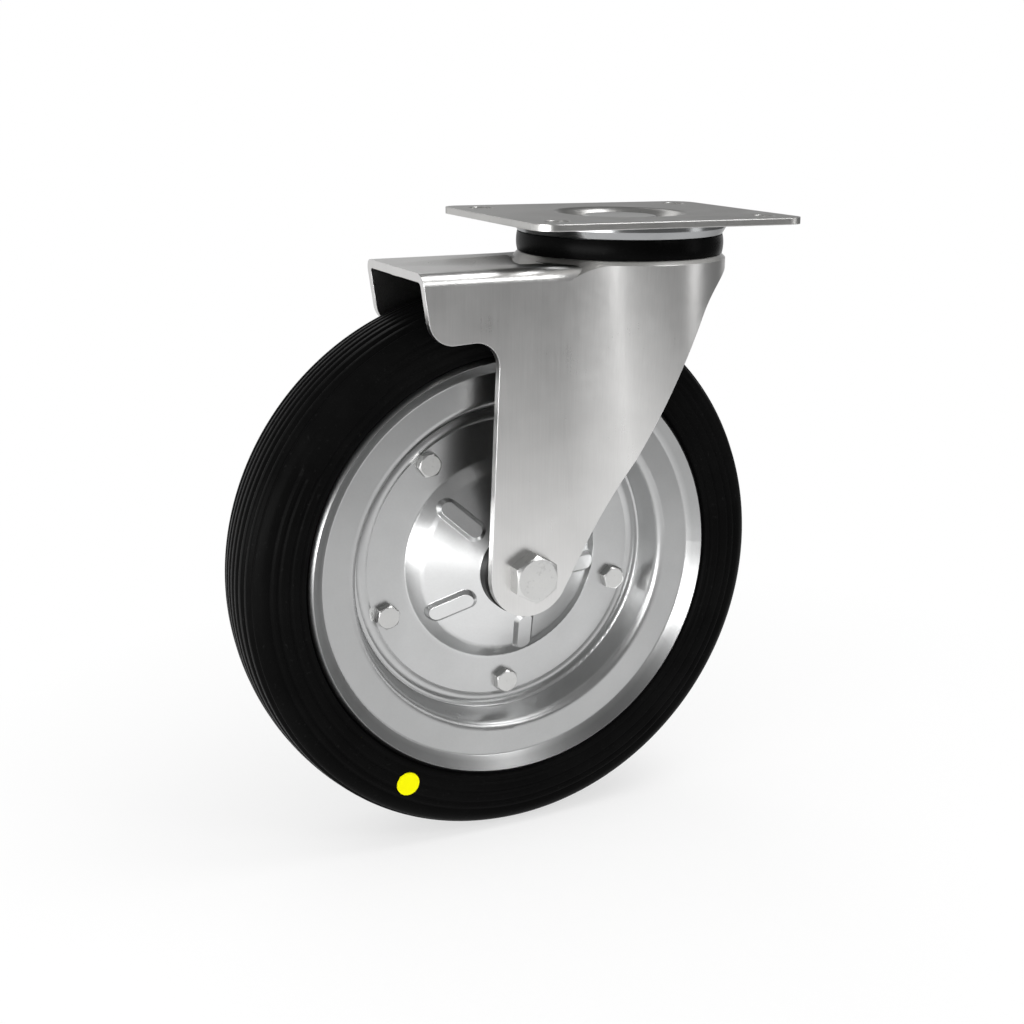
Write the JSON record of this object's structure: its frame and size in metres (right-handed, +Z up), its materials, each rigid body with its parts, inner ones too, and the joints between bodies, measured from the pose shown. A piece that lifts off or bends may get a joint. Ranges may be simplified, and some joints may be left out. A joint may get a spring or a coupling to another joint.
{
  "type": "swivel castor",
  "caption": "Swivel castor with a square-cornered top plate, a pressed steel fork and a solid rubber tyre on a bolted pressed-steel rim.",
  "frame": {"origin": "centre of the top plate's upper face, on the swivel axis", "axes": "+Z up out of the top plate's upper face, -X towards the trailing wheel, -Y towards the axle bolt's head"},
  "size_m": [0.2535, 0.11, 0.2825],
  "materials": {
    "zinc_plate": "zinc plated, satin",
    "zinc_race": "zinc plated, smooth",
    "zinc_fork": "zinc plated, satin",
    "zinc_rim": "zinc plated, bright",
    "zinc_bolts": "zinc plated",
    "ball_steel": "polished",
    "cage_brown": "moulded",
    "seal_black": "smooth black",
    "cap_black": "moulded black",
    "tyre_black": "satin black",
    "marker_yellow": "painted"
  },
  "bodies": {
    "plate": {"top_plate": "zinc_plate", "upper_race": "zinc_race", "kingpin": "zinc_bolts", "kingpin_nut": "zinc_bolts", "lower_race": "zinc_race"},
    "fork_assembly": {"fork": "zinc_fork", "swivel_seal": "seal_black", "upper_balls": "ball_steel", "upper_cage": "cage_brown", "lower_balls": "ball_steel", "axle_bolt": "zinc_bolts", "axle_nut": "zinc_bolts", "axle_washer": "zinc_bolts", "axle_sleeve": "ball_steel"},
    "wheel": {"hub_tube": "zinc_rim", "rollers": "ball_steel", "roller_cage": "cage_brown", "hub_cap_near": "cap_black", "hub_cap_far": "cap_black", "rim_disc_near": "zinc_rim", "rim_disc_far": "zinc_rim", "tyre": "tyre_black", "marker_dot": "marker_yellow", "rim_bolt_1": "zinc_bolts", "rim_nut_1": "zinc_bolts", "rim_bolt_2": "zinc_bolts", "rim_nut_2": "zinc_bolts", "rim_bolt_3": "zinc_bolts", "rim_nut_3": "zinc_bolts", "rim_bolt_4": "zinc_bolts", "rim_nut_4": "zinc_bolts", "rim_bolt_5": "zinc_bolts", "rim_nut_5": "zinc_bolts"}
  },
  "joints": [
    {"name": "swivel", "type": "hinge", "parent": "plate", "child": "fork_assembly", "pos_m": [0, 0, 0], "axis": [0, 0, 1], "continuous": true},
    {"name": "wheel_spin", "type": "hinge", "parent": "fork_assembly", "child": "wheel", "pos_m": [-0.061, 0, -0.1575], "axis": [0, 1, 0], "continuous": true}
  ]
}
